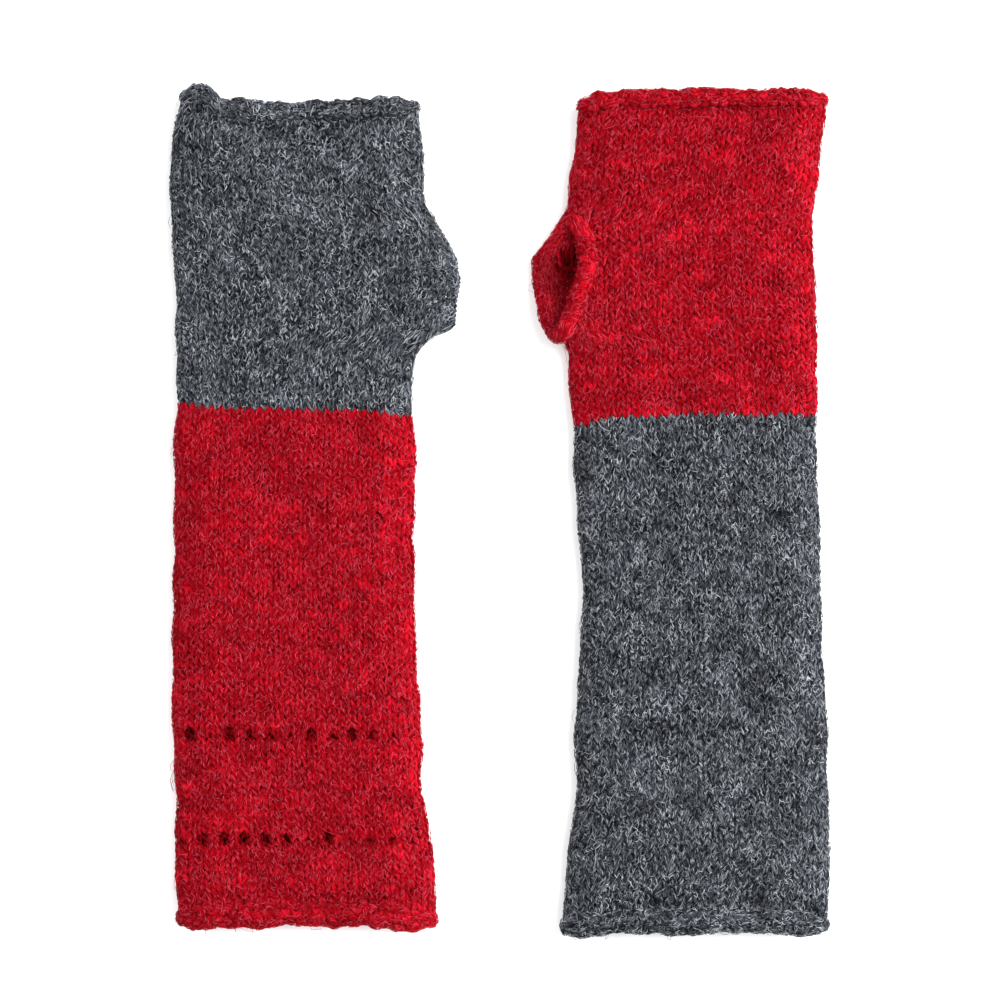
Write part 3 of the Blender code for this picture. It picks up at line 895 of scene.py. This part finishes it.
WOOLS = {
    "red": {
        "dark": (0.20, 0.0002, 0.001),
        "body": (0.46, 0.0010, 0.010),
        "pale": (0.55, 0.013, 0.032),
        "fibres": ((0.28, 0.0002, 0.002), (0.50, 0.0012, 0.011), (0.60, 0.055, 0.095)),
        "mottle": 0.68,
        "sheen": (1.0, 0.12, 0.16, 1.0),
        "sheen_weight": 0.05,
    },
    "grey": {
        "dark": (0.002, 0.003, 0.005),
        "body": (0.056, 0.063, 0.079),
        "pale": (0.33, 0.35, 0.38),
        "fibres": ((0.002, 0.003, 0.005), (0.13, 0.147, 0.178), (0.62, 0.65, 0.70)),
        "mottle": 0.24,
        "sheen": (0.85, 0.90, 1.0, 1.0),
        "sheen_weight": 0.015,
    },
}


def new_material(name, colour):
    """A material, its node tree and its shader."""
    material = bpy.data.materials.new(name)
    material.use_nodes = True
    material.diffuse_color = (*colour, 1.0)
    tree = material.node_tree
    return material, tree, tree.nodes["Principled BSDF"]


def mottled(tree, colour, wool, scale, low, high):
    """The colour, darker in soft patches all over the wool."""
    position = node(tree, "ShaderNodeTexCoord")
    mottle = node(tree, "ShaderNodeTexNoise", Scale=scale, Detail=4.0, Roughness=0.7)
    tree.links.new(position.outputs["Object"], mottle.inputs["Vector"])
    shade = ramp(tree, mottle.outputs["Fac"], [(low, (wool["mottle"],) * 3), (high, (1.0, 1.0, 1.0))])
    return multiply(tree, colour, shade)


def yarn_material(name, wool):
    """Spun wool: streaks of fibre that twist round the yarn, with shade painted into the pits between
    stitches.
    """
    material, tree, shader = new_material(name, wool["body"])
    place = node(tree, "ShaderNodeUVMap", [("uv_map", "yarn")])
    stretch = node(tree, "ShaderNodeMapping", Scale=(0.28, 9.0, 1.0), Rotation=(0.0, 0.0, 0.35))
    tree.links.new(place.outputs["UV"], stretch.inputs["Vector"])
    streaks = node(tree, "ShaderNodeTexNoise", Scale=1.6, Detail=3.0, Roughness=0.65)
    tree.links.new(stretch.outputs["Vector"], streaks.inputs["Vector"])
    stops = [(0.38, wool["dark"]), (0.5, wool["body"]), (0.64, wool["pale"])]
    colour = mottled(tree, ramp(tree, streaks.outputs["Fac"], stops), wool, 70.0, 0.3, 0.7)
    # Painted shade: the ramp darkens the colour where the painted light is low
    depth = node(tree, "ShaderNodeAttribute", [("attribute_name", "skin")])
    pits = ramp(tree, depth.outputs["Fac"], [(0.1, (0.08, 0.08, 0.08)), (0.8, (1.0, 1.0, 1.0))])
    tree.links.new(multiply(tree, colour, pits), shader.inputs["Base Color"])
    bump = node(tree, "ShaderNodeBump", Strength=0.6, Distance=0.0004)
    tree.links.new(streaks.outputs["Fac"], bump.inputs["Height"])
    tree.links.new(bump.outputs["Normal"], shader.inputs["Normal"])
    set_inputs(shader, Roughness=0.92, Specular_IOR_Level=0.03, Sheen_Roughness=0.5)
    set_inputs(shader, Sheen_Weight=wool["sheen_weight"], Sheen_Tint=wool["sheen"])
    return material


def fibre_material(name, wool):
    """Loose fibres, each of its own tone, with shade painted over the eyelets and inside an open thumb's
    mouth.
    """
    material, tree, shader = new_material(name, wool["fibres"][1])
    tone = node(tree, "ShaderNodeAttribute", [("attribute_name", "tone")])
    dark, middle, pale = wool["fibres"]
    colour = ramp(tree, tone.outputs["Fac"], [(0.3, dark), (0.5, middle), (0.6, middle), (0.9, pale)])
    colour = mottled(tree, colour, wool, 90.0, 0.32, 0.68)
    tree.links.new(colour, shader.inputs["Base Color"])
    set_inputs(shader, Roughness=0.75, Specular_IOR_Level=0.04)
    set_inputs(shader, Sheen_Weight=wool["sheen_weight"], Sheen_Tint=wool["sheen"])
    return material


# Each attribute that a mesh stores belongs to a kind of material
MATERIALS = {
    "skin": {wool: yarn_material(f"{wool}_yarn", values) for wool, values in WOOLS.items()},
    "tone": {wool: fibre_material(f"{wool}_fibre", values) for wool, values in WOOLS.items()},
}


# ---- pieces


def finish_piece(faces, name, surface, wool, attribute):
    """Makes a piece, and sets how it moves and what it is made of."""
    piece = faces.make(name, MATERIALS[attribute][wool], attribute)
    surface.follow(piece)
    return piece


def knit_tube_part(tube, thumb, part, start, stop, count, bands, rng):
    """The rounds of the arm or the hand, in bands of about equal height."""
    rows, spacing = row_places(start, stop, count)
    for number, band in enumerate(np.array_split(rows, bands), 1):
        faces = Faces()
        spans = {row: hole_columns(tube, thumb, row) for row in band}
        closed = np.array([row for row in band if spans[row] is None])
        if len(closed):
            low, high = band[0] - EYELET_RANGE, band[-1] + EYELET_RANGE
            near = [eyelet for eyelet in tube.eyelets if low < eyelet[1] < high]
            knit_rounds(faces, tube, closed, spacing, rng, near)
        for row in band:
            if spans[row] is not None:
                knit_span(faces, tube, row, spacing, *spans[row], rng)
        name = f"{tube.name}_{part}_knit_{number}"
        finish_piece(faces, name, tube, tube.wools[part], "skin")
    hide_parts(f"{tube.name}_{part}_tube")


def fuzz_pieces(name, surface, wool, span, count, lattice, rng, keep):
    """Fibres over a stretch of fabric, in several pieces."""
    cuts = max(1, math.ceil(count / FIBRES_PER_PIECE))
    edges = np.linspace(*span, cuts + 1)
    for number in range(cuts):
        faces = Faces()
        stretch = (edges[number], edges[number + 1])
        fibre_tubes(faces, surface, count // cuts, stretch, lattice, rng, keep)
        finish_piece(faces, f"{name}_fuzz_{number + 1}", surface, wool, "tone")


def thin_below(middle, eyelets=()):
    """Keeps all starts on the upper side and a share of those below, and few over an eyelet."""

    def keep(world, start, rng):
        kept = (world[:, 2] > middle * 0.8) | (rng.random(len(world)) < FUZZ_LOWER / FUZZ_UPPER)
        stray = rng.random(len(world)) < 0.45
        for across, row, size in eyelets:
            gap = gap_round(start[:, 0], across)
            far = np.hypot(gap / EYELET_HALF_WIDTH, (start[:, 1] - row) / EYELET_HALF_HEIGHT) > 1.35 * size
            kept &= far | stray
        return kept

    return keep


def outside_hole(tube, thumb):
    """As thin_below, and leaves out the thumb hole."""
    base = thin_below(tube.height / 2)

    def keep(world, start, rng):
        depth = np.where(world[:, 2] > tube.height / 2, thumb.form["hole_depth"], 2.0 * MM)
        beside = (tube.inner_fold(world[:, 1]) - world[:, 0]) * thumb.side < depth
        level = (world[:, 1] > thumb.hole[0]) & (world[:, 1] < thumb.hole[1])
        return base(world, start, rng) & ~(beside & level)

    return keep


def yarn_end(tube, part, half, rng):
    """A woven-in end: two plies twisted round each other along the CAD yarn's own line."""
    node_name = f"{tube.name}_{part}_yarn_end"
    points = node_points(node_name)
    low, high = points.min(0), points.max(0)
    centre = (low + high) / 2
    steps = 24
    radius = (high[2] - low[2]) / 2
    cuts = np.linspace(low[1] + radius * 0.5, high[1] - radius * 0.5, steps)
    width = (cuts[1] - cuts[0]) * 1.5
    line = []
    for y in cuts:
        near = np.abs(points[:, 1] - y) < width
        line.append([points[near, 0].mean() if near.any() else centre[0], y, centre[2]])
    line = np.array(line)
    fine = np.linspace(0, steps - 1, steps * 6)
    path = np.stack([np.interp(fine, np.arange(steps), line[:, i]) for i in range(3)], axis=-1)
    faces = Faces()
    for ply in (0, math.pi):
        angle = fine * 1.4 + ply
        twisted = path.copy()
        twisted[:, 0] += np.cos(angle) * radius * 0.42
        twisted[:, 2] += np.sin(angle) * radius * 0.42
        thickness = np.full((1, len(fine)), radius * 0.55)
        rings = yarn_lumps(rings_round(twisted[None], thickness, YARN_SIDES, 1.0), rng)
        # A painted light of 0.5 paints the tails somewhat darker all over
        add_open_tube(faces, rings, np.full(rings.shape[:-1], 0.5))
    wool = tube.wools[half]
    piece = faces.make(f"{tube.name}_{part}_tail", MATERIALS["skin"][wool], "skin")
    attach(piece, f"{tube.name}_{half}")
    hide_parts(node_name)


def eyelet_centres(tube, rng):
    """Fabric coordinates of the eyelets, on both sides of the tube, and how large each is."""
    points = node_points(f"{tube.name}_cuff_tube")
    # The CAD tube has a ring of points at the top and bottom of each eyelet row
    upper_face = points[points[:, 2] > tube.height - 0.05 * MM]
    rows = np.unique(np.round(upper_face[:, 1], 4))
    gaps = np.diff(rows)
    middles = [(rows[i] + rows[i + 1]) / 2 for i in np.flatnonzero((gaps > 2 * MM) & (gaps < 4 * MM))]
    centres = []
    for middle, openings, shift in zip(middles, EYELETS_OPEN, (0.5, -0.5)):
        for column in range(0, STITCHES_ROUND, EYELET_STEP):
            # Columns run from the middle of the upper side to the right, and come back at the left
            place = (column + STITCHES_ROUND // 4) % STITCHES_ROUND // EYELET_STEP
            upper = place < len(openings)
            size = openings[place] if upper else rng.uniform(0.1, 0.6)
            across = (column + shift + (0 if upper else 1)) * STITCH_WIDTH
            centres.append((across, middle + rng.normal(0, 0.25 * MM), size))
    return centres


def knit_glove(tube, thumb, rng):
    """All the yarn of a glove but its woven-in ends."""
    cuff_rounds, hand_rounds = tube.glove["rounds"]
    knit_tube_part(tube, thumb, "cuff", tube.arm, tube.line, cuff_rounds, 3, rng)
    knit_tube_part(tube, thumb, "hand", tube.line, tube.finger, hand_rounds, 2, rng)
    arm_rounds, finger_rounds = (
        max(2, round(length / ROLL_ROUND)) for length in (tube.arm_curl, tube.finger_curl)
    )
    thumb_stop = thumb.length + thumb.roll_length
    thumb_rounds = thumb.form["roll_rounds"]
    for part, node_name, surface, half, start, stop, count in (
        ("arm_roll", "arm_edge_roll", tube, "cuff", tube.arm, tube.arm - tube.arm_curl, arm_rounds),
        (
            "finger_roll", "finger_edge_roll", tube, "hand", tube.finger, tube.finger + tube.finger_curl,
            finger_rounds,
        ),
        ("thumb_knit", "thumb_tube", thumb, "hand", 0.0, thumb.length, THUMB_ROUNDS),
        ("thumb_roll", "thumb_edge_roll", thumb, "hand", thumb.length, thumb_stop, thumb_rounds),
    ):
        rows, spacing = row_places(start, stop, count)
        least_painted_light = thumb.form["least_painted_light"] if part == "thumb_roll" else 0.0
        faces = Faces()
        knit_rounds(faces, surface, rows, spacing, rng, least_painted_light=least_painted_light)
        if part == "thumb_roll" and not thumb.open_up:
            bound_edge(faces, thumb, rows[-1] + LOOP_REACH * spacing, rng)
        piece = finish_piece(faces, f"{tube.name}_{part}", surface, tube.wools[half], "skin")
        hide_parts(f"{tube.name}_{node_name}")


def cover_glove(tube, thumb, rng):
    """The felted wool over a glove. The rolled edges are rubbed, so they have more than the rest."""
    cuff_rounds, hand_rounds = tube.glove["rounds"]
    cuff_rows = (tube.arm, (tube.line - tube.arm) / cuff_rounds)
    hand_rows = (tube.line, (tube.finger - tube.line) / hand_rounds)
    arm_start = tube.arm - tube.arm_curl * FUZZ_ROLLED
    finger_stop = tube.finger + tube.finger_curl * FUZZ_ROLLED
    thumb_stop = thumb.length + thumb.roll_length * 0.9 + thumb.form["fuzz_stop"]
    arm_roll = (arm_start, tube.arm + 1.0 * MM)
    finger_roll = (tube.finger - 1.0 * MM, finger_stop)
    middle = tube.height / 2
    even = thin_below(middle)
    for part, surface, half, span, length, share, lattice, keep in (
        (
            "cuff", tube, "cuff", (arm_start, tube.line - FUZZ_MARGIN), tube.line - arm_start, 1.0,
            cuff_rows, thin_below(middle, tube.eyelets),
        ),
        (
            "hand", tube, "hand", (tube.line + FUZZ_MARGIN, finger_stop), finger_stop - tube.line, 1.0,
            hand_rows, outside_hole(tube, thumb),
        ),
        (
            "thumb", thumb, "hand", (0, thumb_stop), thumb_stop, thumb.form["fuzz"],
            (0.0, THUMB_ROW), thin_below(0.0 if thumb.open_up else middle),
        ),
        ("arm_roll", tube, "cuff", arm_roll, arm_roll[1] - arm_roll[0], ROLL_FUZZ, cuff_rows, even),
        (
            "finger_roll", tube, "hand", finger_roll, finger_roll[1] - finger_roll[0], ROLL_FUZZ,
            hand_rows, even,
        ),
    ):
        count = int(surface.girth * length * FUZZ_UPPER * share)
        name = f"{tube.name}_{part}"
        fuzz_pieces(name, surface, tube.wools[half], span, count, lattice, rng, keep)


def make_glove(name, glove):
    """One glove. Its random draws are all from one generator, in a fixed order."""
    rng = np.random.default_rng(SEEDS[name])
    tube = Tube(name, glove)
    thumb = Thumb(name, glove, tube)
    if glove["eyelets"]:
        tube.eyelets = eyelet_centres(tube, rng)
    knit_glove(tube, thumb, rng)
    cover_glove(tube, thumb, rng)
    for part in ("arm", "join_cuff"):
        yarn_end(tube, part, "cuff", rng)
    for part in ("join_hand", "finger", "thumb"):
        yarn_end(tube, part, "hand", rng)


# ---- the set


def add_light(name, location, size, energy, aim):
    data = bpy.data.lights.new(name, "AREA")
    data.shape = "DISK"
    data.size = size
    data.energy = energy
    light = bpy.data.objects.new(name, data)
    light.location = location
    light.rotation_euler = (Vector(aim) - Vector(location)).to_track_quat("-Z", "Y").to_euler()
    bpy.context.scene.collection.objects.link(light)


def make_set():
    """A pale floor, soft studio light, and a camera straight above."""
    scene = bpy.context.scene
    view_width = 375.0 * MM
    centre = Vector((-0.75 * MM, 4.54 * MM, 0.0))
    lens, sensor = 85.0, 36.0
    camera_data = bpy.data.cameras.new("camera")
    camera_data.lens = lens
    camera_data.sensor_width = sensor
    camera = bpy.data.objects.new("camera", camera_data)
    camera.location = centre + Vector((0, 0, view_width * lens / sensor + 8 * MM))
    scene.collection.objects.link(camera)
    scene.camera = camera

    bpy.ops.mesh.primitive_plane_add(size=24.0, location=(0, 0, -0.2 * MM))
    floor = bpy.context.object
    floor.name = "floor"
    material, tree, shader = new_material("floor_paper", (0.9, 0.9, 0.9))
    grain = node(tree, "ShaderNodeTexNoise", Scale=60.0, Detail=2.0)
    tone = ramp(tree, grain.outputs["Fac"], [(0.3, (0.93, 0.93, 0.93)), (0.7, (0.95, 0.95, 0.95))])
    tree.links.new(tone, shader.inputs["Base Color"])
    white = (1.0, 1.0, 1.0, 1.0)
    set_inputs(shader, Roughness=0.9, Specular_IOR_Level=0.1, Emission_Color=white, Emission_Strength=0.1)
    floor.data.materials.append(material)

    world = bpy.data.worlds.new("studio")
    scene.world = world
    world.use_nodes = True
    set_inputs(world.node_tree.nodes["Background"], Color=white, Strength=0.82)
    add_light("key", (0.9, 0.5, 1.3), 1.1, 29.0, (0, 0, 0))
    add_light("side", (1.6, 0.2, 0.5), 0.7, 42.0, (0, 0, 0))
    add_light("fill", (-0.8, 0.1, 1.5), 0.9, 10.0, (0, 0, 0))
    scene.view_settings.view_transform = "Standard"


for glove_name, settings in GLOVES.items():
    make_glove(glove_name, settings)
make_set()
